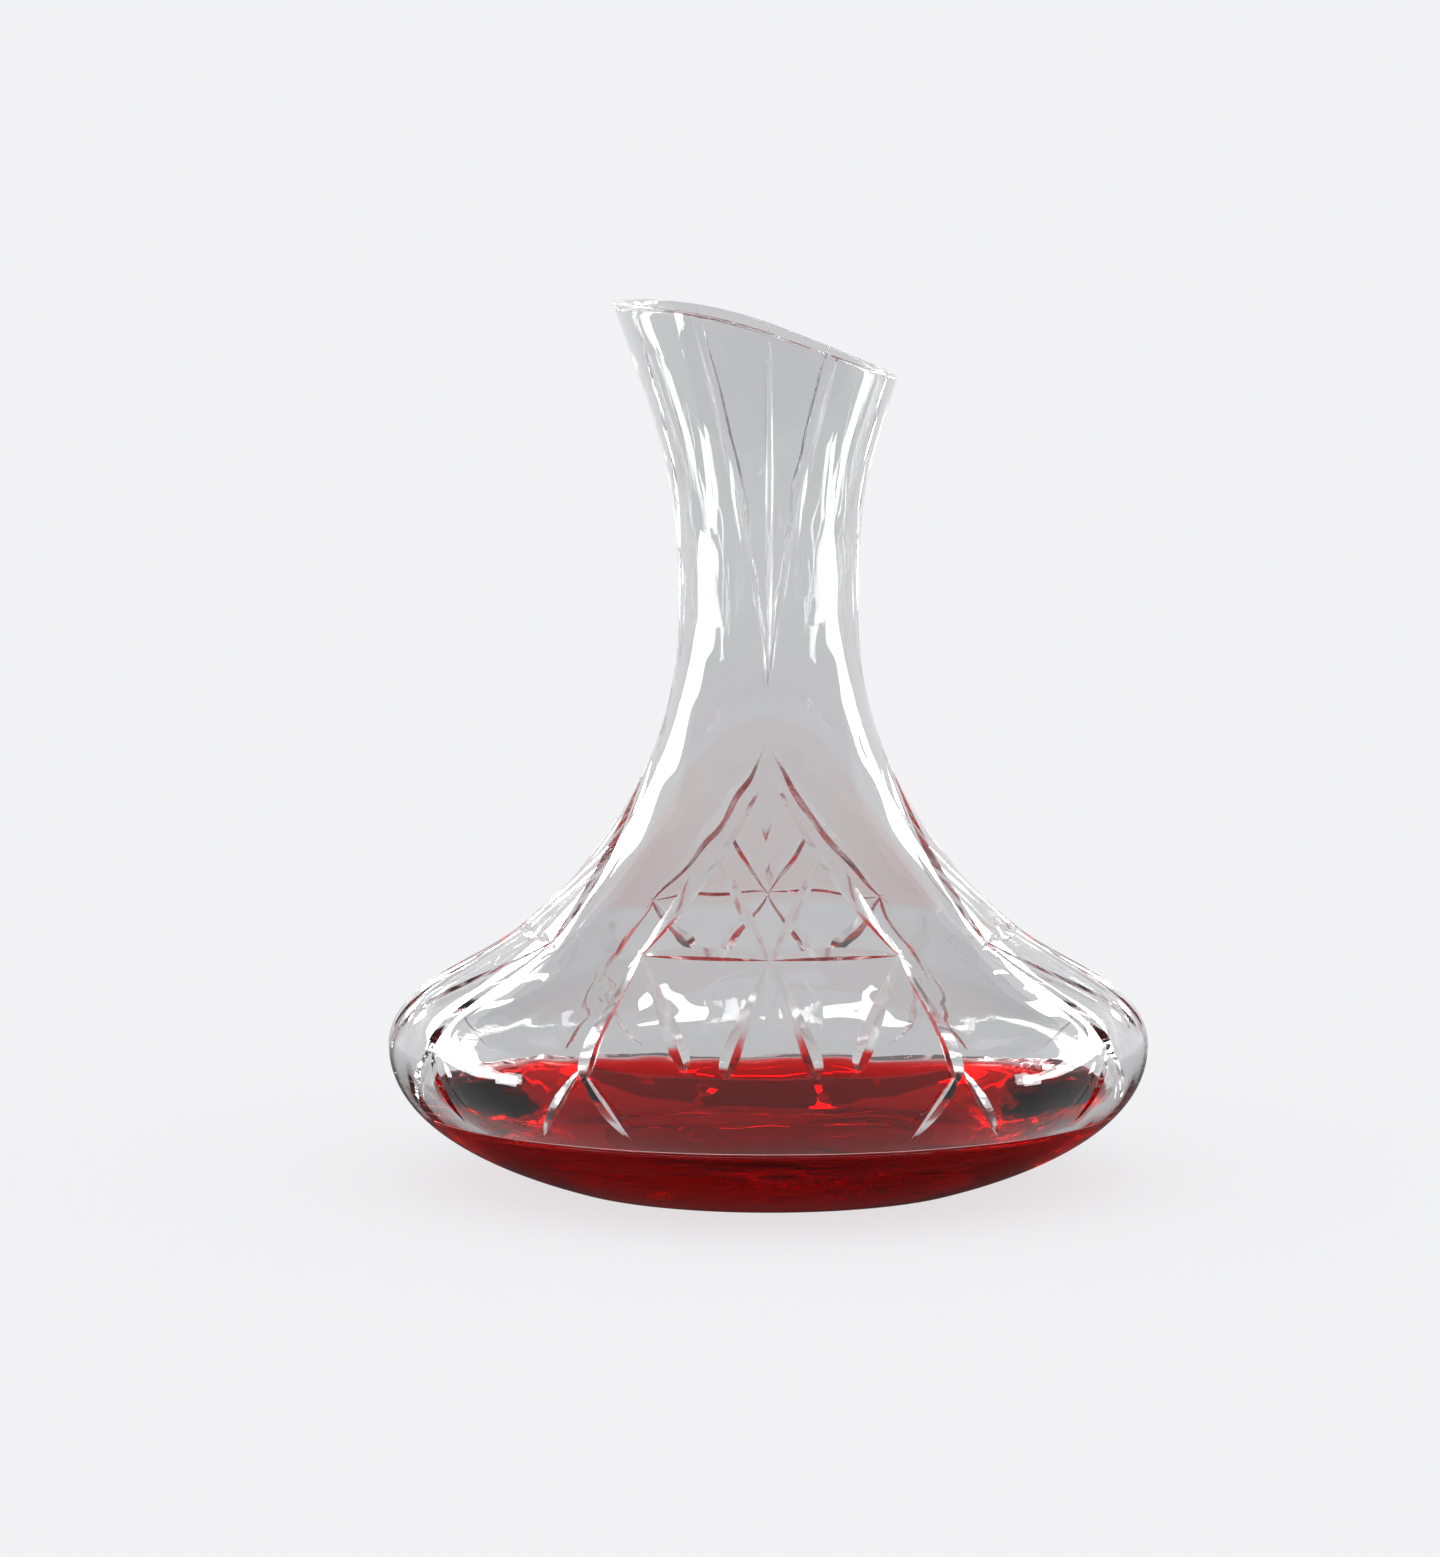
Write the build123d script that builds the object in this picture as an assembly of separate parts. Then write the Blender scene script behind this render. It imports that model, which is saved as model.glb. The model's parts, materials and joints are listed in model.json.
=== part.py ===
"""Cut-glass wine decanter with a slanted mouth, holding half a bottle of red wine.

Millimetres, +Z up. The origin is the centre of the foot, on the table. The front is -Y, the tall
side of the mouth is at -X and the low side at +X. Azimuths count from the front, positive to +X.
"""
from math import asin, cos, degrees, hypot, radians, sin, tan
import os

from build123d import *

# Outer shape of the glass
FOOT_RADIUS = 64.0
BELLY_RADIUS = 112.5
BELLY_HEIGHT = 40.0
RING_RADIUS = 73.3          # the soft corner between belly and flare, where the stars sit
RING_HEIGHT = 74.7
WAIST_RADIUS = 26.5
WAIST_HEIGHT = 167.5
BLANK_RADIUS = 47.7         # the mouth before it is cut off on the slant
BLANK_HEIGHT = 264.0

# Thickness of the glass
FLOOR_THICKNESS = 7.5
BELLY_WALL = 4.5
NECK_WALL = 3.7
PUNT_RADIUS = 50.0          # shallow hollow under the foot, so that the glass stands on a ring
PUNT_HEIGHT = 2.0

# Slanted mouth: a round crest over the tall side, then a straight fall to the low side
LIP_HEIGHT = 259.5
LIP_OFFSET = 46.0           # from the axis towards -X
CREST_RADIUS = 140.0
MOUTH_SLOPE = 20.5          # degrees
RIM_ROUNDING = 1.2

WINE_LEVEL = 23.5

# Cut decoration: the same motif repeated around the glass, all cut with one V-edged wheel
MOTIFS = 4
WHEEL_HALF_ANGLE = 55.0     # degrees
CUTTER_HEIGHT = 6.0
PAST_THE_ENDS = 1.12        # each cutter runs this much further than its cut

# Each cut: azimuth and height of its two ends, and its greatest depth, halfway
CENTRE_CUTS = [
    (0.0, 257.0, 0.0, 147.0, 0.9),      # flute down the neck
    (0.0, 109.0, 0.0, 92.0, 0.9),       # drop inside the arch
]
MIRRORED_CUTS = [
    (30.0, 256.0, 0.0, 139.0, 0.75),    # slant from the mouth to the foot of the flute
    (0.0, 129.0, 31.5, 72.0, 2.0),      # arm of the arch
    (19.5, 103.0, 0.0, 73.5, 1.0),      # from the arm to the middle star
    (30.5, 74.5, -0.5, 74.5, 1.25),     # bar along the ring, from star to star
    (-0.5, 75.5, 4.2, 62.0, 0.8),       # ray below the middle star: its narrow upper stretch
    (2.3, 69.0, 6.8, 46.0, 1.3),        # and its wide lower one
    (31.0, 75.5, 21.0, 62.0, 0.8),      # inner ray below the outer star
    (25.0, 68.0, 12.5, 47.0, 1.2),
    (30.5, 76.0, 29.0, 61.0, 0.9),      # outer ray below the outer star
    (29.5, 68.0, 28.0, 43.0, 1.3),
    (29.0, 48.0, 21.0, 27.0, 0.9),      # inner spur under the belly
    (28.5, 48.0, 36.5, 26.0, 0.9),      # outer spur under the belly
]

# Control points (radius, height) of the outline: one cubic curve from each corner to the next
OUTER_OUTLINE = [
    [(FOOT_RADIUS, 0.0), (91.5, 8.5), (BELLY_RADIUS, 21.0), (BELLY_RADIUS, BELLY_HEIGHT)],
    [(BELLY_RADIUS, BELLY_HEIGHT), (BELLY_RADIUS, 56.5), (90.0, 63.5), (RING_RADIUS, RING_HEIGHT)],
    [(RING_RADIUS, RING_HEIGHT), (67.0, 81.0), (WAIST_RADIUS, 113.0), (WAIST_RADIUS, WAIST_HEIGHT)],
    [(WAIST_RADIUS, WAIST_HEIGHT), (WAIST_RADIUS, 209.0), (30.0, 214.0), (BLANK_RADIUS, BLANK_HEIGHT)],
]
INNER_BELLY = BELLY_RADIUS - BELLY_WALL
INNER_RING = (RING_RADIUS - 0.62 * BELLY_WALL, RING_HEIGHT - 0.78 * BELLY_WALL)
INNER_WAIST = WAIST_RADIUS - NECK_WALL
FLOOR_RADIUS = 58.0
CAVITY_TOP = (BLANK_RADIUS - 3.5, BLANK_HEIGHT + 1.2)     # square to the flaring wall
INNER_OUTLINE = [
    [(FLOOR_RADIUS, FLOOR_THICKNESS), (86.0, 10.0), (INNER_BELLY, 24.0), (INNER_BELLY, BELLY_HEIGHT)],
    [(INNER_BELLY, BELLY_HEIGHT), (INNER_BELLY, 54.5), (87.0, 60.0), INNER_RING],
    [INNER_RING, (64.0, 77.6), (INNER_WAIST, 112.0), (INNER_WAIST, WAIST_HEIGHT)],
    [(INNER_WAIST, WAIST_HEIGHT), (INNER_WAIST, 209.5), (26.3, 215.2), CAVITY_TOP],
]


def point_xz(radius, height):
    return Vector(radius, 0.0, height)


def outline_edges(outline):
    """The cubic curves of an outline, as edges in the XZ plane."""
    return [Bezier(*[point_xz(*point) for point in points]) for points in outline]


def turned(edges):
    """The solid swept by a closed outline about the Z axis."""
    return revolve(make_face(Wire(edges)), Axis.Z, 360.0)


def cubic(points, t, index):
    """Radius (index 0) or height (index 1) of a cubic curve at its parameter t."""
    a, b, c, d = [point[index] for point in points]
    s = 1.0 - t
    return s * s * s * a + 3.0 * s * s * t * b + 3.0 * s * t * t * c + t * t * t * d


def bisect(is_low, low, high):
    """The value between low and high where is_low turns false."""
    for _ in range(40):
        middle = (low + high) / 2.0
        if is_low(middle):
            low = middle
        else:
            high = middle
    return low


def outer_radius(height):
    """Radius of the uncut glass at a height."""
    for points in OUTER_OUTLINE:
        if height <= points[-1][1]:
            t = bisect(lambda value: cubic(points, value, 1) < height, 0.0, 1.0)
            return cubic(points, t, 0)
    return BLANK_RADIUS


def surface_point(azimuth, height):
    radius = outer_radius(height)
    return Vector(radius * sin(radians(azimuth)), -radius * cos(radians(azimuth)), height)


def cutter(start_azimuth, start_height, end_azimuth, end_height, depth):
    """A curved wedge. Its sharp edge meets the surface at both ends and is deepest halfway."""
    start = surface_point(start_azimuth, start_height)
    end = surface_point(end_azimuth, end_height)
    along = (end - start).normalized()
    half_chord = (end - start).length / 2.0
    middle = (start + end) * 0.5
    lean = outer_radius(middle.Z - 1.0) - outer_radius(middle.Z + 1.0)
    outwards = Vector(middle.X, middle.Y, 0.0).normalized() + Vector(0.0, 0.0, lean / 2.0)
    outwards = (outwards - along * outwards.dot(along)).normalized()

    def is_inside(rise):
        point = middle + outwards * rise
        return hypot(point.X, point.Y) < outer_radius(point.Z)

    rise = bisect(is_inside, -20.0, 20.0) - depth
    radius = (half_chord ** 2 + rise ** 2) / (2.0 * abs(rise))
    edge = middle + outwards * rise
    centre = edge - outwards * radius if rise > 0.0 else edge + outwards * radius
    sideways = along.cross(outwards)
    top = edge + outwards * CUTTER_HEIGHT
    half_width = CUTTER_HEIGHT * tan(radians(WHEEL_HALF_ANGLE))
    wedge = make_face(Polyline(edge, top + sideways * half_width, top - sideways * half_width, close=True))
    turn_axis = Axis(centre, sideways)
    half_turn = PAST_THE_ENDS * degrees(asin(half_chord / radius))
    return revolve(wedge.rotate(turn_axis, -half_turn), turn_axis, 2.0 * half_turn)


def all_cutters():
    cutters = []
    for motif in range(MOTIFS):
        turn = 360.0 / MOTIFS * motif
        for start, start_height, end, end_height, depth in CENTRE_CUTS:
            cutters.append(cutter(start + turn, start_height, end + turn, end_height, depth))
        for side in (-1.0, 1.0):
            for start, start_height, end, end_height, depth in MIRRORED_CUTS:
                ends = (side * start + turn, start_height, side * end + turn, end_height)
                cutters.append(cutter(*ends, depth))
    return cutters


def blank():
    """The glass before it is cut: outer shape, open cavity and hollow foot."""
    corner = OUTER_OUTLINE[-1][-1]
    edges = outline_edges(OUTER_OUTLINE)
    edges.append(Line(point_xz(*corner), point_xz(*CAVITY_TOP)))
    edges += outline_edges(INNER_OUTLINE)
    edges.append(Line(point_xz(FLOOR_RADIUS, FLOOR_THICKNESS), point_xz(0.0, FLOOR_THICKNESS)))
    edges.append(Line(point_xz(0.0, FLOOR_THICKNESS), point_xz(0.0, PUNT_HEIGHT)))
    edges.append(Bezier(
        point_xz(0.0, PUNT_HEIGHT),
        point_xz(0.5 * PUNT_RADIUS, PUNT_HEIGHT),
        point_xz(0.9 * PUNT_RADIUS, 0.6 * PUNT_HEIGHT),
        point_xz(PUNT_RADIUS, 0.0),
    ))
    edges.append(Line(point_xz(PUNT_RADIUS, 0.0), point_xz(FOOT_RADIUS, 0.0)))
    return turned(edges)


def above_the_mouth():
    """Everything above the slanted mouth: an arc over the tall side, then a straight fall."""
    reach = 200.0               # wide enough to clear the mouth on every side
    crest = point_xz(-LIP_OFFSET, LIP_HEIGHT)
    turn = radians(MOUTH_SLOPE)
    arc_end = crest + Vector(CREST_RADIUS * sin(turn), 0.0, CREST_RADIUS * (cos(turn) - 1.0))
    arc_middle = crest + Vector(CREST_RADIUS * sin(turn / 2.0), 0.0, CREST_RADIUS * (cos(turn / 2.0) - 1.0))
    low_end = arc_end + Vector(cos(turn), 0.0, -sin(turn)) * reach
    tall_end = crest - Vector(reach, 0.0, 0.0)
    edges = [
        Line(tall_end, crest),
        ThreePointArc(crest, arc_middle, arc_end),
        Line(arc_end, low_end),
        Line(low_end, Vector(low_end.X, 0.0, 2.0 * BLANK_HEIGHT)),
        Line(Vector(low_end.X, 0.0, 2.0 * BLANK_HEIGHT), Vector(tall_end.X, 0.0, 2.0 * BLANK_HEIGHT)),
        Line(Vector(tall_end.X, 0.0, 2.0 * BLANK_HEIGHT), tall_end),
    ]
    return extrude(make_face(Wire(edges)), reach, dir=(0.0, 1.0, 0.0), both=True)


def make_glass_body():
    """One piece of glass: the blank, cut off at the mouth and with its decoration cut in."""
    glass = blank() - above_the_mouth()
    rim_edges = [edge for edge in glass.edges() if edge.center().Z > WAIST_HEIGHT + 40.0]
    glass = fillet(rim_edges, RIM_ROUNDING)
    return glass - all_cutters()


def make_red_wine():
    """The wine: the cavity's own shape, from its floor to the wine's level."""
    edges = [
        Line(point_xz(0.0, FLOOR_THICKNESS), point_xz(FLOOR_RADIUS, FLOOR_THICKNESS)),
        outline_edges(INNER_OUTLINE)[0],
        Line(point_xz(INNER_BELLY, BELLY_HEIGHT), point_xz(0.0, BELLY_HEIGHT)),
        Line(point_xz(0.0, BELLY_HEIGHT), point_xz(0.0, FLOOR_THICKNESS)),
    ]
    block = Box(3.0 * BELLY_RADIUS, 3.0 * BELLY_RADIUS, BELLY_HEIGHT)
    return turned(edges) - Pos(0.0, 0.0, WINE_LEVEL + BELLY_HEIGHT / 2.0) * block


def main():
    os.makedirs("parts", exist_ok=True)
    for name, shape in {"glass_body": make_glass_body(), "red_wine": make_red_wine()}.items():
        shape.label = name
        export_step(shape, f"parts/{name}.step")
        print(name, round(shape.volume), "mm3")


if __name__ == "__main__":
    main()
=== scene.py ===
"""Cut-glass wine decanter: clear glass with mitre cuts, and half a bottle of red wine in it.

Metres, +Z up, the origin is the centre of the foot. The front is -Y and the tall side of the mouth
is at -X. Azimuths count from the front, positive to +X.
"""
import json
import math

import bmesh
import bpy
import numpy as np
from mathutils import Matrix, Vector

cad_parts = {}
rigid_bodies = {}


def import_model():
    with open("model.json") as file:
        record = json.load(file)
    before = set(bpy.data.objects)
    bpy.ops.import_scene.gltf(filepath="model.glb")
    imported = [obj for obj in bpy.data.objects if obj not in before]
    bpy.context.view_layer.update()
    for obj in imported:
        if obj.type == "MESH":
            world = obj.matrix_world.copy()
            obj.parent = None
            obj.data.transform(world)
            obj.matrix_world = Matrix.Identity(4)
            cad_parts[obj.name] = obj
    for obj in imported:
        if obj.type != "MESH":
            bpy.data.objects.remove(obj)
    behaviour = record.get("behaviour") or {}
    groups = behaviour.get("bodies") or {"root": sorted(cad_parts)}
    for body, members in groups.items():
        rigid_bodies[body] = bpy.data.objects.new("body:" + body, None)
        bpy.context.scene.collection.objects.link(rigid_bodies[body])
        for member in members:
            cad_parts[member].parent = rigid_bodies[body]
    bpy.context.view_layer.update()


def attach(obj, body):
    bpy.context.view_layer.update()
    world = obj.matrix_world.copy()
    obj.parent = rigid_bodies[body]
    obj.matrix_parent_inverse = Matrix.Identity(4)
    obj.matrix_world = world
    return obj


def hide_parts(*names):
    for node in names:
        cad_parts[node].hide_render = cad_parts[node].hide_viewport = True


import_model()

MM = 0.001

# Outline of the glass in millimetres: control points (radius, height), one cubic from corner to corner
FOOT_RADIUS = 64.0
WAIST_HEIGHT = 167.5
OUTER_OUTLINE = [
    [(FOOT_RADIUS, 0.0), (91.5, 8.5), (112.5, 21.0), (112.5, 40.0)],
    [(112.5, 40.0), (112.5, 56.5), (88.8, 61.9), (73.3, 74.7)],
    [(73.3, 74.7), (66.4, 80.4), (26.5, 113.0), (26.5, WAIST_HEIGHT)],
    [(26.5, WAIST_HEIGHT), (26.5, 209.0), (30.0, 214.0), (47.7, 264.0)],
]
FLOOR_RADIUS = 58.0
FLOOR_THICKNESS = 7.5
INNER_OUTLINE = [
    [(FLOOR_RADIUS, FLOOR_THICKNESS), (86.0, 10.0), (108.0, 24.0), (108.0, 40.0)],
    [(108.0, 40.0), (108.0, 54.5), (85.9, 58.5), (70.51, 71.19)],
    [(70.51, 71.19), (63.5, 77.0), (22.8, 112.0), (22.8, WAIST_HEIGHT)],
    [(22.8, WAIST_HEIGHT), (22.8, 209.5), (26.3, 215.2), (44.2, 265.2)],
]
PUNT_RADIUS = 50.0
PUNT_HEIGHT = 2.0

# Slanted mouth: a round crest over the tall side, then a straight fall to the low side
LIP_HEIGHT = 259.5
LIP_OFFSET = 46.0
CREST_RADIUS = 140.0
MOUTH_SLOPE = math.radians(20.5)
RIM_ROUNDING = 1.3

WINE_LEVEL = 23.5
WINE_OVERLAP = 0.3          # how far the wine reaches into the glass, so that no air film shows
MENISCUS_HEIGHT = 1.6
MENISCUS_WIDTH = 3.0
WINE_TOP = WINE_LEVEL + MENISCUS_HEIGHT

# Cuts: azimuth and height of both ends, greatest depth, the wheel's half angle, and how the depth runs.
# A lens is deepest halfway, and a ray grows deeper from its star to its blunt lower end.
MOTIFS = 4
SHARP = math.radians(52.0)
WIDE = math.radians(61.0)
FLAT = math.radians(66.0)
CUTTER_HEIGHT = 4.0
STATION_SPACING = 1.5
PAST_THE_ENDS = 0.03        # how far a wheel runs on past its cut, as a share of the cut's length
LIFT = 0.25                 # and how high it lifts off there, as a share of the greatest depth
RAY_START = 0.2             # a ray's depth at its star, as a share of the greatest
RAY_BLUNT = 0.85            # where along a ray its blunt end begins
CENTRE_CUTS = [
    (0.0, 258.0, 0.0, 147.0, 0.9, SHARP, "lens"),       # flute down the neck
    (0.0, 108.0, 0.0, 93.0, 0.7, FLAT, "lens"),         # drop inside the arch
]
MIRRORED_CUTS = [
    (30.0, 257.0, 0.0, 139.0, 1.1, SHARP, "lens"),      # slant from the mouth to the foot of the flute
    (0.0, 125.0, 31.5, 71.5, 1.35, FLAT, "lens"),       # arm of the arch
    (19.5, 103.0, 0.0, 73.5, 0.8, FLAT, "lens"),        # from the arm to the middle star
    (30.5, 74.5, -0.5, 74.5, 1.1, FLAT, "lens"),        # bar along the ring, from star to star
    (-0.5, 75.5, 6.8, 46.0, 1.6, WIDE, "ray"),          # below the middle star
    (31.0, 75.5, 12.5, 48.0, 1.6, WIDE, "ray"),         # below the outer star, inner
    (30.5, 76.0, 28.0, 43.0, 1.6, WIDE, "ray"),         # below the outer star, outer
    (29.0, 48.0, 21.0, 27.0, 1.0, WIDE, "lens"),        # inner spur under the belly
    (28.5, 48.0, 36.5, 26.0, 1.0, WIDE, "lens"),        # outer spur under the belly
]


# ---------------------------------------------------------------- outlines

MOUTH_HALVINGS = 50         # steps of the two bisections
CUT_HALVINGS = 40
SEARCH_REACH = 25.0         # further than any cut's chord lies from the surface


def cubic(points, t):
    """Points (radius, height) on a cubic curve at the parameters t."""
    a, b, c, d = [np.array(point)[None] for point in points]
    t = np.asarray(t, float).reshape(-1, 1)
    s = 1.0 - t
    return s ** 3 * a + 3.0 * s * s * t * b + 3.0 * s * t * t * c + t ** 3 * d


def fine_outline(outline, steps=600):
    """The whole outline as many points, from its lowest to its highest."""
    t = np.linspace(0.0, 1.0, steps)
    return np.concatenate([cubic(points, t) for points in outline])


OUTER = fine_outline(OUTER_OUTLINE)
INNER = fine_outline(INNER_OUTLINE)


def radius_at(outline, height):
    return np.interp(height, outline[:, 1], outline[:, 0])


def slope_at(outline, height, step=0.25):
    """How fast the radius grows with height."""
    return (radius_at(outline, height + step) - radius_at(outline, height - step)) / (2.0 * step)


def even_heights(outline, low, high, spacing):
    """Heights from low to high that lie evenly spaced along the outline."""
    inside = outline[(outline[:, 1] > low) & (outline[:, 1] < high)]
    ends = [[radius_at(outline, low), low]], [[radius_at(outline, high), high]]
    path = np.concatenate([ends[0], inside, ends[1]])
    travel = np.concatenate([[0.0], np.cumsum(np.hypot(*np.diff(path, axis=0).T))])
    count = max(2, int(round(travel[-1] / spacing)))
    return np.interp(np.linspace(0.0, travel[-1], count + 1), travel, path[:, 1])


def mouth_height(x):
    """Height of the slanted mouth at a distance x from the axis, towards the low side."""
    run = x + LIP_OFFSET
    arc_run = CREST_RADIUS * math.sin(MOUTH_SLOPE)
    arc_drop = CREST_RADIUS * (1.0 - math.cos(MOUTH_SLOPE))
    on_arc = np.sqrt(CREST_RADIUS ** 2 - np.clip(run, 0.0, arc_run) ** 2)
    fall = np.maximum(run - arc_run, 0.0) * math.tan(MOUTH_SLOPE)
    return np.where(run < arc_run, LIP_HEIGHT - (CREST_RADIUS - on_arc), LIP_HEIGHT - arc_drop - fall)


def mouth_edge(outline, azimuths):
    """Height at which the mouth cuts an outline, for each azimuth."""
    low = np.full(len(azimuths), WAIST_HEIGHT)
    high = np.full(len(azimuths), LIP_HEIGHT + 2.0)
    for _ in range(MOUTH_HALVINGS):
        middle = (low + high) / 2.0
        below = middle < mouth_height(radius_at(outline, middle) * np.sin(azimuths))
        low = np.where(below, middle, low)
        high = np.where(below, high, middle)
    return low


# ---------------------------------------------------------------- mesh helpers

def ring(azimuths, radius, height):
    """Points round the axis. Azimuth 0 is the front."""
    radius = np.broadcast_to(radius, azimuths.shape)
    height = np.broadcast_to(height, azimuths.shape)
    return np.stack([radius * np.sin(azimuths), -radius * np.cos(azimuths), height], -1)


def closed_mesh(name, rings, first_pole, last_pole):
    """A closed mesh from rings of equal length, with a pole point before the first and after the last."""
    count = len(rings[0])
    points = [np.array([first_pole])] + rings + [np.array([last_pole])]
    vertices = np.concatenate(points) * MM
    faces = []
    for i in range(count):
        j = (i + 1) % count
        faces.append((0, 1 + j, 1 + i))
        for row in range(len(rings) - 1):
            a = 1 + row * count
            b = a + count
            faces.append((a + i, a + j, b + j, b + i))
        last = 1 + (len(rings) - 1) * count
        faces.append((last + i, last + j, len(vertices) - 1))
    mesh = bpy.data.meshes.new(name)
    mesh.from_pydata(vertices.tolist(), [], faces)
    mesh.update()
    return mesh


def add_object(name, mesh):
    piece = bpy.data.objects.new(name, mesh)
    bpy.context.scene.collection.objects.link(piece)
    return piece


def rounded(before, corner, after, radius, steps):
    """Rings that round off a corner ring between its two neighbours."""
    towards_before = before - corner
    towards_after = after - corner
    start = corner + towards_before / np.linalg.norm(towards_before, axis=1, keepdims=True) * radius
    end = corner + towards_after / np.linalg.norm(towards_after, axis=1, keepdims=True) * radius
    rows = []
    for t in np.linspace(0.0, 1.0, steps):
        # a control point short of the corner makes the curve close to a true arc
        inner = corner * 0.9 + (start + end) * 0.05
        rows.append((1.0 - t) ** 2 * start + 2.0 * t * (1.0 - t) * inner + t * t * end)
    return rows


# ---------------------------------------------------------------- glass

AZIMUTH_STEPS = 256
WALL_SPACING = 2.2
RIM_STEPS = 7
FLOOR_STEPS = 9             # rings across the cavity's floor, and across the hollow foot

# How far the inner wall waves in and out, as on glass blown into a mould, and between which heights
WAVE_DEPTH = 0.13
WAVES_FULL_ABOVE_FLOOR = 6.0
WAVES_END = 225.0
WAVES_FADE = 30.0
# Each wave: how many go round the glass, how many go up each millimetre, and where it starts
WAVES = [(3, 0.021, 0.3), (5, -0.034, 1.7), (8, 0.027, 4.1), (11, -0.045, 2.6), (17, 0.038, 5.2)]


def wall_rings(outline, azimuths, low, clearance):
    """Rings up a wall, from a height to the clearance below the mouth's edge, which the top ones follow."""
    edge = mouth_edge(outline, azimuths) - clearance
    rings = []
    lower = even_heights(outline, low, WINE_TOP, WALL_SPACING)[:-1]
    for height in np.concatenate([lower, even_heights(outline, WINE_TOP, WAIST_HEIGHT, WALL_SPACING)]):
        rings.append(ring(azimuths, radius_at(outline, height), height))
    upper = even_heights(outline, WAIST_HEIGHT, LIP_HEIGHT, WALL_SPACING)[1:]
    for height in upper:
        share = (height - WAIST_HEIGHT) / (LIP_HEIGHT - WAIST_HEIGHT)
        leaning = WAIST_HEIGHT + share * (edge - WAIST_HEIGHT)
        rings.append(ring(azimuths, radius_at(outline, leaning), leaning))
    return rings


def waved(rings):
    """Moves the inner wall's rings in and out a little, in slanting waves that fade at floor and mouth."""
    moved = []
    for row in rings:
        azimuths = np.arctan2(row[:, 0], -row[:, 1])
        height = row[:, 2]
        wave = sum(np.sin(count * azimuths + twist * 2.0 * math.pi * height + start)
                   for count, twist, start in WAVES) / len(WAVES)
        rise = np.clip((height - FLOOR_THICKNESS) / WAVES_FULL_ABOVE_FLOOR, 0.0, 1.0)
        fade = np.clip((WAVES_END - height) / WAVES_FADE, 0.0, 1.0)
        moved.append(row + ring(azimuths, 1.0, 0.0) * (WAVE_DEPTH * wave * rise * fade)[:, None])
    return moved


def blank_mesh():
    """The glass before it is cut, as one closed surface from the hollow foot to the cavity's floor."""
    azimuths = np.arange(AZIMUTH_STEPS) * 2.0 * math.pi / AZIMUTH_STEPS
    punt = cubic([(0.0, PUNT_HEIGHT), (0.5 * PUNT_RADIUS, PUNT_HEIGHT),
                  (0.9 * PUNT_RADIUS, 0.6 * PUNT_HEIGHT), (PUNT_RADIUS, 0.0)],
                 np.linspace(0.0, 1.0, FLOOR_STEPS)[1:])
    rings = [ring(azimuths, radius, height) for radius, height in punt]
    rings.append(ring(azimuths, (PUNT_RADIUS + FOOT_RADIUS) / 2.0, 0.0))
    clearance = 2.0 * RIM_ROUNDING
    outer = wall_rings(OUTER, azimuths, 0.0, clearance)
    inner = waved(wall_rings(INNER, azimuths, FLOOR_THICKNESS, clearance))[::-1]
    outer_height = mouth_edge(OUTER, azimuths)
    inner_height = mouth_edge(INNER, azimuths)
    outer_corner = ring(azimuths, radius_at(OUTER, outer_height), outer_height)
    inner_corner = ring(azimuths, radius_at(INNER, inner_height), inner_height)
    rings += outer
    rings += rounded(outer[-1], outer_corner, inner_corner, RIM_ROUNDING, RIM_STEPS)
    rings.append((outer_corner + inner_corner) / 2.0)
    rings += rounded(outer_corner, inner_corner, inner[0], RIM_ROUNDING, RIM_STEPS)
    rings += inner
    for share in np.linspace(1.0, 0.0, FLOOR_STEPS)[1:-1]:
        rings.append(ring(azimuths, FLOOR_RADIUS * share, FLOOR_THICKNESS))
    return closed_mesh("glass_blank", rings, (0.0, 0.0, PUNT_HEIGHT), (0.0, 0.0, FLOOR_THICKNESS))


def surface_point(azimuth, height):
    radius = radius_at(OUTER, height)
    return np.array([radius * math.sin(azimuth), -radius * math.cos(azimuth), height])


def unit(vector):
    return vector / np.linalg.norm(vector)


def cut_path(start, end, shares):
    """Points on the surface, in the plane of a wheel that cuts from start to end, and their normals."""
    chord = end - start
    middle = (start + end) / 2.0
    outwards = np.array([middle[0], middle[1], 0.0])
    outwards = unit(outwards) + np.array([0.0, 0.0, -slope_at(OUTER, middle[2], 1.0)])
    outwards = unit(outwards - unit(chord) * (outwards @ unit(chord)))
    points = []
    normals = []
    for share in shares:
        on_chord = start + chord * share
        low, high = -SEARCH_REACH, SEARCH_REACH
        for _ in range(CUT_HALVINGS):
            rise = (low + high) / 2.0
            x, y, z = on_chord + outwards * rise
            if math.hypot(x, y) < radius_at(OUTER, z):
                low = rise
            else:
                high = rise
        point = on_chord + outwards * low
        flat = unit(np.array([point[0], point[1], 0.0]))
        points.append(point)
        normals.append(unit(flat + np.array([0.0, 0.0, -slope_at(OUTER, point[2])])))
    return np.array(points), np.array(normals)


def depth_share(share, run):
    """Depth along a cut as a share of its greatest. Past both ends it is negative, clear of the glass."""
    if share < 0.0 or share > 1.0:
        return -LIFT
    if run == "lens":
        return 4.0 * share * (1.0 - share)
    if share < RAY_BLUNT:
        return RAY_START + (1.0 - RAY_START) * share / RAY_BLUNT
    return math.sqrt(max(0.0, 1.0 - ((share - RAY_BLUNT) / (1.0 - RAY_BLUNT)) ** 2))


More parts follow.
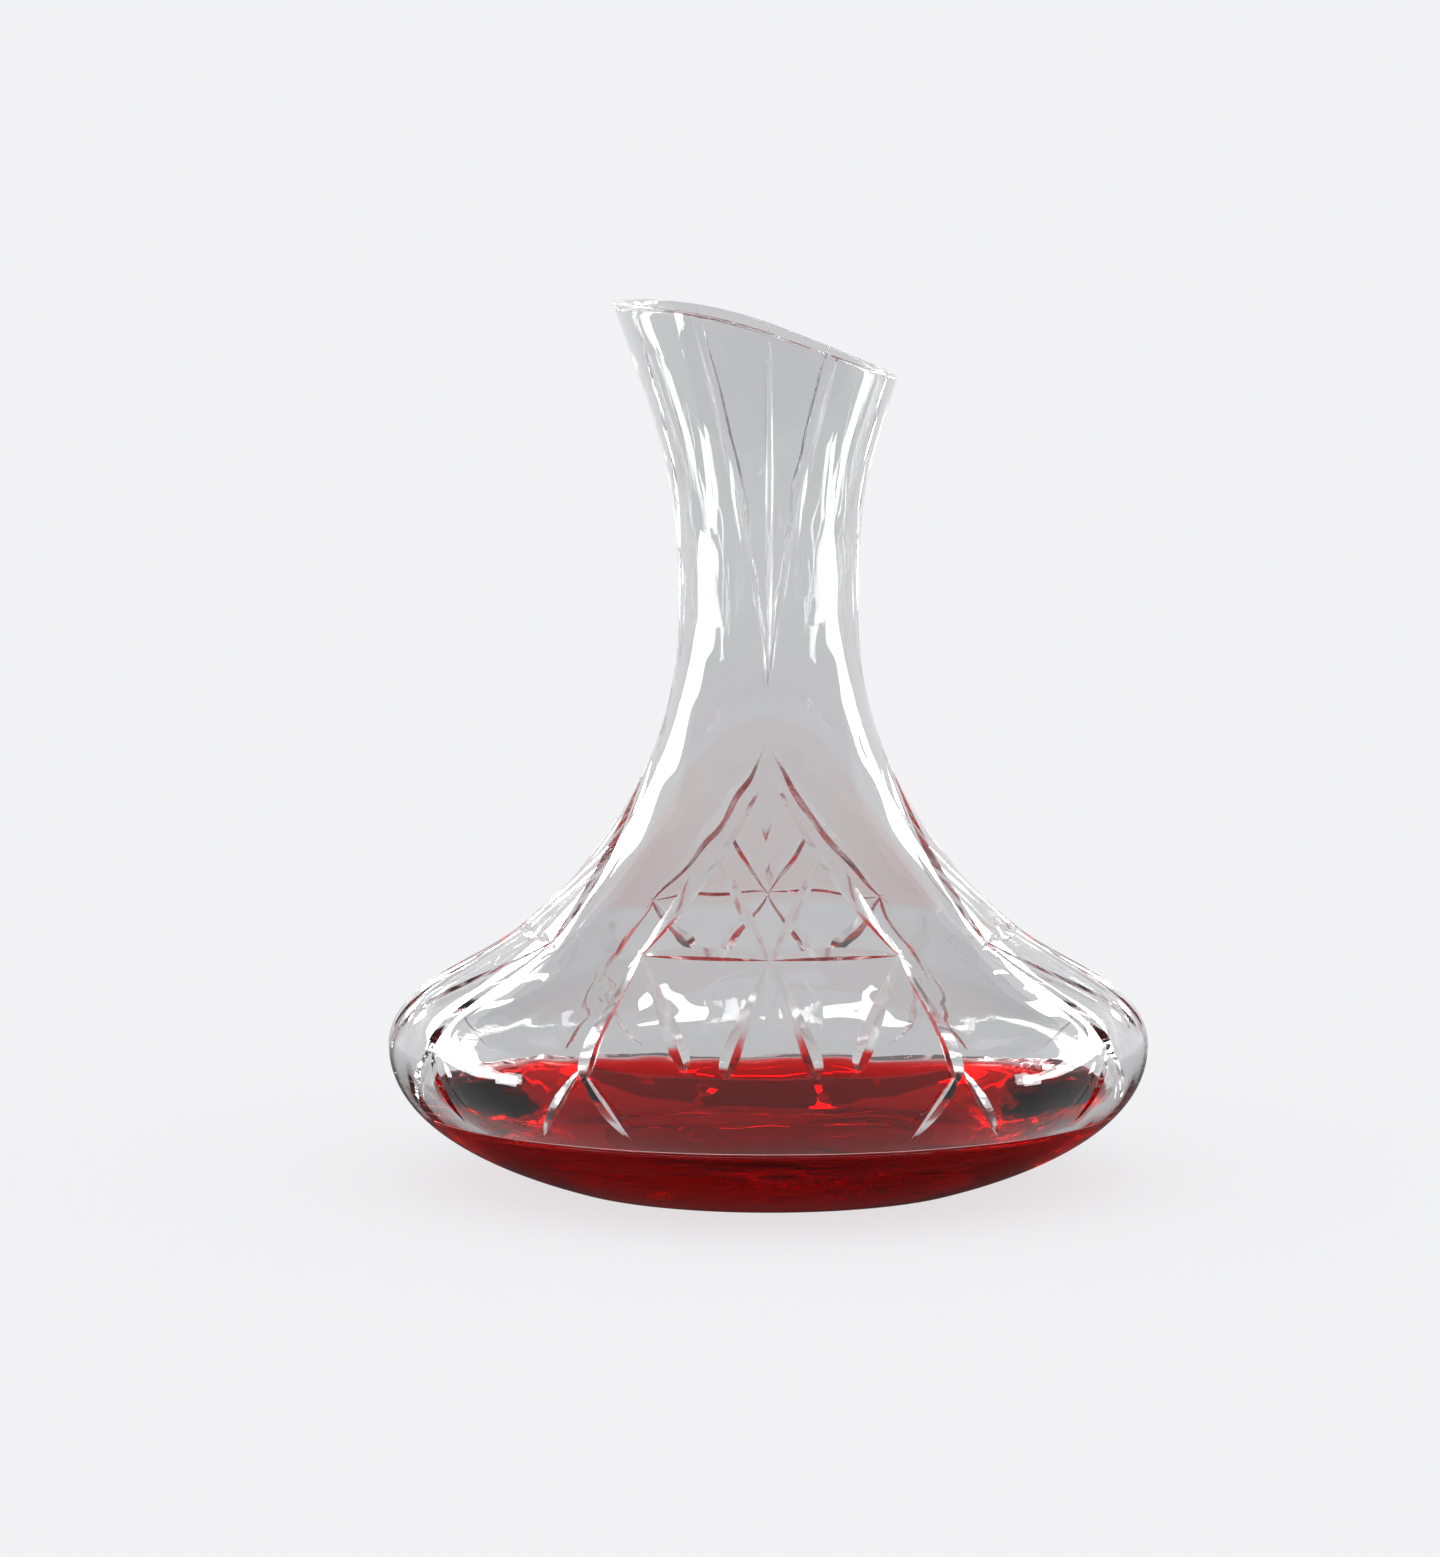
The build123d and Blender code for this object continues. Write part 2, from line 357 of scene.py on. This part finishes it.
def cutter_mesh(cut, turn, side):
    """A wedge that follows the surface: its sharp edge is the bottom of the cut."""
    start_azimuth, start_height, end_azimuth, end_height, depth, wheel, run = cut
    start = surface_point(math.radians(side * start_azimuth + turn), start_height)
    end = surface_point(math.radians(side * end_azimuth + turn), end_height)
    length = np.linalg.norm(end - start)
    count = max(8, int(length / STATION_SPACING))
    shares = np.concatenate([[-PAST_THE_ENDS], np.linspace(0.0, 1.0, count - 1), [1.0 + PAST_THE_ENDS]])
    points, normals = cut_path(start, end, shares)
    half_width = CUTTER_HEIGHT * math.tan(wheel)
    vertices = []
    for i, share in enumerate(shares):
        along = unit(points[min(i + 1, count)] - points[max(i - 1, 0)])
        outwards = unit(normals[i] - along * (normals[i] @ along))
        sideways = np.cross(along, outwards)
        bottom = points[i] - outwards * depth * depth_share(share, run)
        top = bottom + outwards * CUTTER_HEIGHT
        vertices += [bottom, top + sideways * half_width, top - sideways * half_width]
    faces = [(0, 1, 2), (3 * count, 3 * count + 2, 3 * count + 1)]
    for i in range(count):
        for a, b in ((0, 1), (1, 2), (2, 0)):
            faces.append((3 * i + b, 3 * i + a, 3 * i + 3 + a, 3 * i + 3 + b))
    mesh = bpy.data.meshes.new("cutter")
    mesh.from_pydata((np.array(vertices) * MM).tolist(), [], faces)
    shell = bmesh.new()
    shell.from_mesh(mesh)
    bmesh.ops.triangulate(shell, faces=shell.faces)
    bmesh.ops.recalc_face_normals(shell, faces=shell.faces)
    shell.to_mesh(mesh)
    shell.free()
    return mesh


def cut_glass(blank):
    """Cuts every motif into the blank."""
    wheels = bpy.data.collections.new("wheels")
    bpy.context.scene.collection.children.link(wheels)
    for motif in range(MOTIFS):
        turn = 360.0 / MOTIFS * motif
        cuts = [(cut, 1.0) for cut in CENTRE_CUTS]
        cuts += [(cut, side) for side in (-1.0, 1.0) for cut in MIRRORED_CUTS]
        for cut, side in cuts:
            wheels.objects.link(bpy.data.objects.new("wheel", cutter_mesh(cut, turn, side)))
    boolean = blank.modifiers.new("cuts", "BOOLEAN")
    boolean.operation = "DIFFERENCE"
    boolean.operand_type = "COLLECTION"
    boolean.collection = wheels
    boolean.solver = "MANIFOLD"
    depsgraph = bpy.context.evaluated_depsgraph_get()
    mesh = bpy.data.meshes.new_from_object(blank.evaluated_get(depsgraph))
    for wheel in list(wheels.objects):
        shape = wheel.data
        bpy.data.objects.remove(wheel)
        bpy.data.meshes.remove(shape)
    bpy.data.collections.remove(wheels)
    blank.modifiers.clear()
    old = blank.data
    blank.data = mesh
    bpy.data.meshes.remove(old)


SHARP_ANGLE = math.radians(18.0)
CUT_TURN = math.radians(9.0)        # a face that is turned further from the outline belongs to a cut
ON_THE_WALL = 0.06                  # how near the outline a point of the uncut wall lies
ABOVE_THE_TABLE = 0.5               # the foot's flat lies below this
CUTS_FROM = 10.0                    # no cut comes lower than this
CAVITY_MARGIN = 0.8                 # a cut's facets stay this far out from the cavity
WET_MARGIN = 0.5                    # the wetted wall's faces lie within this of the cavity's outline


def polish(piece):
    """Smooth shading with crisp cuts. The uncut outer wall takes its exact normals from the outline."""
    mesh = piece.data
    mesh.shade_smooth()
    mesh.set_sharp_from_angle(angle=SHARP_ANGLE)
    corner_vertices = np.zeros(len(mesh.loops), int)
    mesh.loops.foreach_get("vertex_index", corner_vertices)
    points = np.zeros(len(mesh.vertices) * 3)
    mesh.vertices.foreach_get("co", points)
    points = points.reshape(-1, 3)[corner_vertices] / MM
    normals = np.zeros(len(mesh.loops) * 3)
    mesh.corner_normals.foreach_get("vector", normals)
    normals = normals.reshape(-1, 3)
    face_normals = np.zeros(len(mesh.polygons) * 3)
    mesh.polygons.foreach_get("normal", face_normals)
    sizes = np.zeros(len(mesh.polygons), int)
    mesh.polygons.foreach_get("loop_total", sizes)
    face_normals = np.repeat(face_normals.reshape(-1, 3), sizes, axis=0)
    radius = np.hypot(points[:, 0], points[:, 1])
    safe = np.maximum(radius, 1.0)
    exact = np.stack([points[:, 0] / safe, points[:, 1] / safe, -slope_at(OUTER, points[:, 2])], -1)
    exact /= np.linalg.norm(exact, axis=1, keepdims=True)
    on_wall = np.abs(radius - radius_at(OUTER, points[:, 2])) < ON_THE_WALL
    on_wall &= (exact * face_normals).sum(1) > math.cos(CUT_TURN)
    on_wall &= points[:, 2] > ABOVE_THE_TABLE
    normals = np.where(on_wall[:, None], exact, normals)
    mesh.normals_split_custom_set(normals.tolist())


def wet_faces(piece, slot):
    """Gives a material slot to the faces that the wine touches, up to the edge of its meniscus."""
    for face in piece.data.polygons:
        x, y, z = face.center / MM
        inside = math.hypot(x, y) < radius_at(INNER, max(z, FLOOR_THICKNESS)) + WET_MARGIN
        if inside and FLOOR_THICKNESS - 0.1 < z < WINE_TOP:
            face.material_index = slot


def cut_faces(piece, slot):
    """Gives a material slot to the cuts' facets: outside the cavity, and turned away from the outline."""
    for face in piece.data.polygons:
        x, y, z = face.center / MM
        radius = math.hypot(x, y)
        outside = radius > radius_at(INNER, z) + CAVITY_MARGIN
        if outside and CUTS_FROM < z < mouth_height(x) - 3.0 * RIM_ROUNDING:
            wall = unit(np.array([x / radius, y / radius, -slope_at(OUTER, z)]))
            if wall @ np.array(face.normal) < math.cos(CUT_TURN):
                face.material_index = slot


def make_glass():
    glass = add_object("decanter_glass", blank_mesh())
    cut_glass(glass)
    polish(glass)
    glass.data.materials.clear()
    glass.data.materials.append(glass_material("crystal_glass", GLASS_IOR))
    glass.data.materials.append(glass_material("crystal_glass_at_wine", GLASS_IOR / WINE_IOR))
    glass.data.materials.append(glass_material("crystal_glass_cut", GLASS_IOR, CUT_ROUGHNESS))
    wet_faces(glass, 1)
    cut_faces(glass, 2)
    return glass


# ---------------------------------------------------------------- wine

WINE_AZIMUTH_STEPS = 240
WINE_SPACING = 2.0
MENISCUS_STEPS = 9
SURFACE_STEPS = 16
EDGE_INSET = 0.4            # from the cavity's wall to the meniscus's edge
MENISCUS_CURVE = 2.5        # how steeply the meniscus climbs the glass


def make_wine():
    """The wine fills the cavity to its level, with a meniscus where it climbs the glass."""
    azimuths = np.arange(WINE_AZIMUTH_STEPS) * 2.0 * math.pi / WINE_AZIMUTH_STEPS
    rings = []
    for share in np.linspace(0.0, 1.0, FLOOR_STEPS)[1:-1]:
        rings.append(ring(azimuths, FLOOR_RADIUS * share, FLOOR_THICKNESS - WINE_OVERLAP))
    for height in even_heights(INNER, FLOOR_THICKNESS, WINE_TOP, WINE_SPACING):
        slope = slope_at(INNER, max(height, FLOOR_THICKNESS + 0.3))
        lean = math.hypot(1.0, slope)
        radius = radius_at(INNER, height) + WINE_OVERLAP / lean
        rings.append(ring(azimuths, radius, height - WINE_OVERLAP * slope / lean))
    wall = radius_at(INNER, WINE_TOP)
    for share in np.linspace(0.0, 1.0, MENISCUS_STEPS)[1:]:
        height = WINE_LEVEL + MENISCUS_HEIGHT * (1.0 - share) ** MENISCUS_CURVE
        rings.append(ring(azimuths, wall - EDGE_INSET - MENISCUS_WIDTH * share, height))
    for share in np.linspace(1.0, 0.0, SURFACE_STEPS)[1:-1]:
        rings.append(ring(azimuths, (wall - MENISCUS_WIDTH) * share, WINE_LEVEL))
    mesh = closed_mesh("wine", rings, (0.0, 0.0, FLOOR_THICKNESS - WINE_OVERLAP), (0.0, 0.0, WINE_LEVEL))
    mesh.shade_smooth()
    mesh.set_sharp_from_angle(angle=math.radians(40.0))
    return add_object("wine", mesh)


# ---------------------------------------------------------------- materials

def new_material(name):
    material = bpy.data.materials.new(name)
    material.use_nodes = True
    tree = material.node_tree
    return material, tree, tree.nodes["Principled BSDF"]


def noise(tree, scale, detail):
    """Noise in object space, scale per metre."""
    coordinates = tree.nodes.new("ShaderNodeTexCoord")
    texture = tree.nodes.new("ShaderNodeTexNoise")
    texture.inputs["Scale"].default_value = scale
    texture.inputs["Detail"].default_value = detail
    tree.links.new(coordinates.outputs["Object"], texture.inputs["Vector"])
    return texture.outputs["Fac"]


def ranged(tree, source, low, high):
    """Maps noise onto a range of values."""
    node = tree.nodes.new("ShaderNodeMapRange")
    node.inputs["From Min"].default_value = 0.3
    node.inputs["From Max"].default_value = 0.7
    node.inputs["To Min"].default_value = low
    node.inputs["To Max"].default_value = high
    tree.links.new(source, node.inputs["Value"])
    return node.outputs["Result"]


def mixed(tree, source, dark, light):
    node = tree.nodes.new("ShaderNodeMix")
    node.data_type = "RGBA"
    node.inputs["A"].default_value = (*dark, 1.0)
    node.inputs["B"].default_value = (*light, 1.0)
    tree.links.new(source, node.inputs["Factor"])
    return node.outputs["Result"]


def bumped(tree, shader, source, distance):
    node = tree.nodes.new("ShaderNodeBump")
    node.inputs["Strength"].default_value = 1.0
    node.inputs["Distance"].default_value = distance
    tree.links.new(source, node.inputs["Height"])
    tree.links.new(node.outputs["Normal"], shader.inputs["Normal"])


GLASS_IOR = 1.52
WINE_IOR = 1.34
NO_BEND = 1.001
CUT_ROUGHNESS = 0.1         # the wheel leaves the cuts a little less polished
WINE_ABSORPTION = 240.0     # per metre


def glass_material(name, ior, roughness=0.0):
    """Crystal glass: a faint uneven grey, slight smudges, and the waviness of a fire-polished surface."""
    material, tree, shader = new_material(name)
    shader.inputs["Transmission Weight"].default_value = 1.0
    shader.inputs["IOR"].default_value = ior
    tone = ranged(tree, noise(tree, 18.0, 2.0), 0.0, 1.0)
    grey = mixed(tree, tone, (0.94, 0.944, 0.95), (0.965, 0.966, 0.97))
    tree.links.new(grey, shader.inputs["Base Color"])
    smudge = ranged(tree, noise(tree, 35.0, 4.0), roughness, roughness + 0.012)
    tree.links.new(smudge, shader.inputs["Roughness"])
    bumped(tree, shader, noise(tree, 45.0, 1.0), 0.00025)
    return material


def wine_bend(tree):
    """The wine's IOR: its full one only for light that meets the open surface from below.

    Where the wine meets the glass, the wetted wall's own material bends the light. From above, the
    open surface mirrors next to nothing.
    """
    coordinates = tree.nodes.new("ShaderNodeTexCoord")
    axes = tree.nodes.new("ShaderNodeSeparateXYZ")
    tree.links.new(coordinates.outputs["Object"], axes.inputs["Vector"])
    surface = tree.nodes.new("ShaderNodeMath")
    surface.operation = "GREATER_THAN"
    tree.links.new(axes.outputs["Z"], surface.inputs[0])
    surface.inputs[1].default_value = (WINE_LEVEL - 0.05) * MM
    geometry = tree.nodes.new("ShaderNodeNewGeometry")
    below = tree.nodes.new("ShaderNodeMath")
    below.operation = "MULTIPLY"
    tree.links.new(surface.outputs["Value"], below.inputs[0])
    tree.links.new(geometry.outputs["Backfacing"], below.inputs[1])
    bend = tree.nodes.new("ShaderNodeMapRange")
    bend.inputs["To Min"].default_value = NO_BEND
    bend.inputs["To Max"].default_value = WINE_IOR
    tree.links.new(below.outputs["Value"], bend.inputs["Value"])
    return bend.outputs["Result"]


def wine_material():
    """Red wine: clear, and red because of what it absorbs."""
    material, tree, shader = new_material("red_wine")
    shader.inputs["Transmission Weight"].default_value = 1.0
    # The socket keeps the wine's IOR for wherever the link isn't carried over
    shader.inputs["IOR"].default_value = WINE_IOR
    tree.links.new(wine_bend(tree), shader.inputs["IOR"])
    shader.inputs["Roughness"].default_value = 0.0
    tone = ranged(tree, noise(tree, 30.0, 2.0), 0.0, 1.0)
    tint = mixed(tree, tone, (1.0, 0.9, 0.9), (1.0, 1.0, 1.0))
    tree.links.new(tint, shader.inputs["Base Color"])
    bumped(tree, shader, noise(tree, 70.0, 2.0), 0.0006)
    absorption = tree.nodes.new("ShaderNodeVolumeAbsorption")
    absorption.inputs["Color"].default_value = (0.965, 0.05, 0.04, 1.0)
    absorption.inputs["Density"].default_value = WINE_ABSORPTION
    tree.links.new(absorption.outputs["Volume"], tree.nodes["Material Output"].inputs["Volume"])
    return material


# ---------------------------------------------------------------- the object

glass = make_glass()
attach(glass, "root")
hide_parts("glass_body")

wine = make_wine()
wine.data.materials.append(wine_material())
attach(wine, "root")
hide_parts("red_wine")


# ---------------------------------------------------------------- stage, lights and camera

FLOOR_REACH = 2.6
SWEEP_RADIUS = 1.6
WALL_HEIGHT = 1.4
SWEEP_ALBEDO = 0.2
SWEEP_GLOW = 0.712
REFLECTED_FRONT = 0.02
REFLECTED_BACK = 0.9
FRONT_TO_BACK = (-0.1, 0.8)         # where along Y the one turns into the other
# Painted shade: seen through the glass, the sweep's glow is dimmed under the foot, in place of the shadow
# that the foot and the wine cast on the table; the pair of distances from the axis below says where this
# painted shade fades out
PAINTED_SHADE_UNDER_FOOT = 0.55
THROUGH_GLASS = 0.62
PAINTED_SHADE_FADE = (0.06, 0.2)         # how far from the axis the one turns into the other
SKY = 0.9
REFLECTED_SKY = 0.2
SOFTBOX_AIM = 0.16
SOFTBOX_RADIANCE = 12.0


def make_sweep():
    """A pale floor that curves up into a wall all round, so that it has no horizon from any side."""
    azimuths = np.arange(96) * 2.0 * math.pi / 96
    rings = [ring(azimuths, FLOOR_REACH * share, 0.0) for share in (0.1, 0.3, 0.6, 1.0)]
    for turn in np.linspace(0.0, math.pi / 2.0, 17)[1:]:
        reach = FLOOR_REACH + SWEEP_RADIUS * math.sin(turn)
        rings.append(ring(azimuths, reach, SWEEP_RADIUS * (1.0 - math.cos(turn))))
    rings.append(ring(azimuths, FLOOR_REACH + SWEEP_RADIUS, SWEEP_RADIUS + WALL_HEIGHT))
    vertices = np.concatenate([np.zeros((1, 3))] + rings)
    count = len(azimuths)
    faces = [(0, 1 + i, 1 + (i + 1) % count) for i in range(count)]
    for row in range(len(rings) - 1):
        for i in range(count):
            a = 1 + row * count + i
            b = 1 + row * count + (i + 1) % count
            faces.append((a, a + count, b + count, b))
    mesh = bpy.data.meshes.new("sweep")
    mesh.from_pydata(vertices.tolist(), [], faces)
    mesh.shade_smooth()
    sweep = add_object("sweep", mesh)
    sweep.data.materials.append(sweep_material())


def faded(tree, source, start, end, low, high):
    """A smooth change from low to high as the source goes from start to end."""
    node = tree.nodes.new("ShaderNodeMapRange")
    node.interpolation_type = "SMOOTHSTEP"
    node.inputs["From Min"].default_value = start
    node.inputs["From Max"].default_value = end
    node.inputs["To Min"].default_value = low
    node.inputs["To Max"].default_value = high
    tree.links.new(source, node.inputs["Value"])
    return node.outputs["Result"]


def sweep_material():
    """Pale and evenly lit, with a soft shadow.

    Mirrored in the glass it is dark in front and bright behind, which draws the glass's edges. Through
    the glass it is a little dimmer, and dimmest under the foot, where a painted shade stands in for the
    shadow that the foot and the wine cast on the table.
    """
    material, tree, shader = new_material("pale_sweep")
    shader.inputs["Base Color"].default_value = (SWEEP_ALBEDO, SWEEP_ALBEDO, SWEEP_ALBEDO, 1.0)
    shader.inputs["Roughness"].default_value = 1.0
    shader.inputs["Specular IOR Level"].default_value = 0.0
    shader.inputs["Emission Color"].default_value = (1.0, 1.0, 1.014, 1.0)
    shader.inputs["Emission Strength"].default_value = SWEEP_GLOW
    coordinates = tree.nodes.new("ShaderNodeTexCoord")
    distance = tree.nodes.new("ShaderNodeVectorMath")
    distance.operation = "LENGTH"
    tree.links.new(coordinates.outputs["Object"], distance.inputs[0])
    axes = tree.nodes.new("ShaderNodeSeparateXYZ")
    tree.links.new(coordinates.outputs["Object"], axes.inputs["Vector"])
    mirrored = faded(tree, axes.outputs["Y"], *FRONT_TO_BACK, REFLECTED_FRONT, REFLECTED_BACK)
    # painted shade under the foot, in the glow that the glass lets through
    through = faded(tree, distance.outputs["Value"], *PAINTED_SHADE_FADE, PAINTED_SHADE_UNDER_FOOT, THROUGH_GLASS)
    glows = {"Is Glossy Ray": mirrored, "Is Transmission Ray": through}
    path = tree.nodes.new("ShaderNodeLightPath")
    shown = shader.outputs["BSDF"]
    for ray, strength in glows.items():
        glow = tree.nodes.new("ShaderNodeEmission")
        glow.inputs["Color"].default_value = (1.0, 1.0, 1.01, 1.0)
        tree.links.new(strength, glow.inputs["Strength"])
        mix = tree.nodes.new("ShaderNodeMixShader")
        tree.links.new(path.outputs[ray], mix.inputs["Fac"])
        tree.links.new(shown, mix.inputs[1])
        tree.links.new(glow.outputs["Emission"], mix.inputs[2])
        shown = mix.outputs["Shader"]
    tree.links.new(shown, tree.nodes["Material Output"].inputs["Surface"])
    material.cycles.emission_sampling = "NONE"
    return material


def softbox(name, azimuth, elevation, distance, width, height, lean):
    """A rectangular light that faces the neck from a direction in degrees, turned in its plane by its lean.

    The camera doesn't see it, and it doesn't light the sweep.
    """
    a, e = math.radians(azimuth), math.radians(elevation)
    away = Vector((math.sin(a) * math.cos(e), -math.cos(a) * math.cos(e), math.sin(e)))
    data = bpy.data.lights.new(name, "AREA")
    data.shape = "RECTANGLE"
    data.size = width
    data.size_y = height
    data.energy = SOFTBOX_RADIANCE * math.pi * width * height
    light = bpy.data.objects.new(name, data)
    light.location = Vector((0.0, 0.0, SOFTBOX_AIM)) + away * distance
    turned = away.to_track_quat("Z", "Y").to_matrix() @ Matrix.Rotation(math.radians(lean), 3, "Z")
    light.rotation_euler = turned.to_euler()
    light.visible_camera = False
    light.visible_diffuse = False
    bpy.context.scene.collection.objects.link(light)


make_sweep()
softbox("left_strip", -115.0, 9.0, 0.9, 0.2, 1.6, 63.0)
softbox("right_strip", 115.0, 9.0, 0.9, 0.13, 1.6, -63.0)
softbox("left_low", -75.0, -18.0, 0.45, 0.06, 0.16, 0.0)
softbox("right_low", 75.0, -18.0, 0.45, 0.04, 0.16, 0.0)
softbox("overhead", 180.0, 62.0, 1.1, 0.7, 0.05, 0.0)


def make_world():
    """Even light from all round, dimmer where the glass mirrors it, so that little of it veils the wine."""
    world = bpy.data.worlds.new("studio")
    world.use_nodes = True
    tree = world.node_tree
    background = tree.nodes["Background"]
    background.inputs["Color"].default_value = (1.0, 1.0, 1.01, 1.0)
    path = tree.nodes.new("ShaderNodeLightPath")
    strength = tree.nodes.new("ShaderNodeMapRange")
    strength.inputs["To Min"].default_value = SKY
    strength.inputs["To Max"].default_value = REFLECTED_SKY
    tree.links.new(path.outputs["Is Glossy Ray"], strength.inputs["Value"])
    tree.links.new(strength.outputs["Result"], background.inputs["Strength"])
    bpy.context.scene.world = world


make_world()

CAMERA_DISTANCE = 1.85
CAMERA_HEIGHT = 0.322
CAMERA_OFFSET = -0.0143
AIM_HEIGHT = 0.1186
FOCAL_LENGTH = 145.6

camera_data = bpy.data.cameras.new("camera")
camera_data.sensor_width = 36.0
camera_data.lens = FOCAL_LENGTH
camera_data.clip_start = 0.1
camera_data.clip_end = 50.0
camera = bpy.data.objects.new("camera", camera_data)
camera.location = (CAMERA_OFFSET, -CAMERA_DISTANCE, CAMERA_HEIGHT)
pitch = math.atan2(CAMERA_HEIGHT - AIM_HEIGHT, CAMERA_DISTANCE)
camera.rotation_euler = (math.pi / 2.0 - pitch, 0.0, 0.0)
bpy.context.scene.collection.objects.link(camera)
bpy.context.scene.camera = camera

scene = bpy.context.scene
scene.view_settings.view_transform = "Standard"
scene.cycles.max_bounces = 48
scene.cycles.transmission_bounces = 48
scene.cycles.glossy_bounces = 48
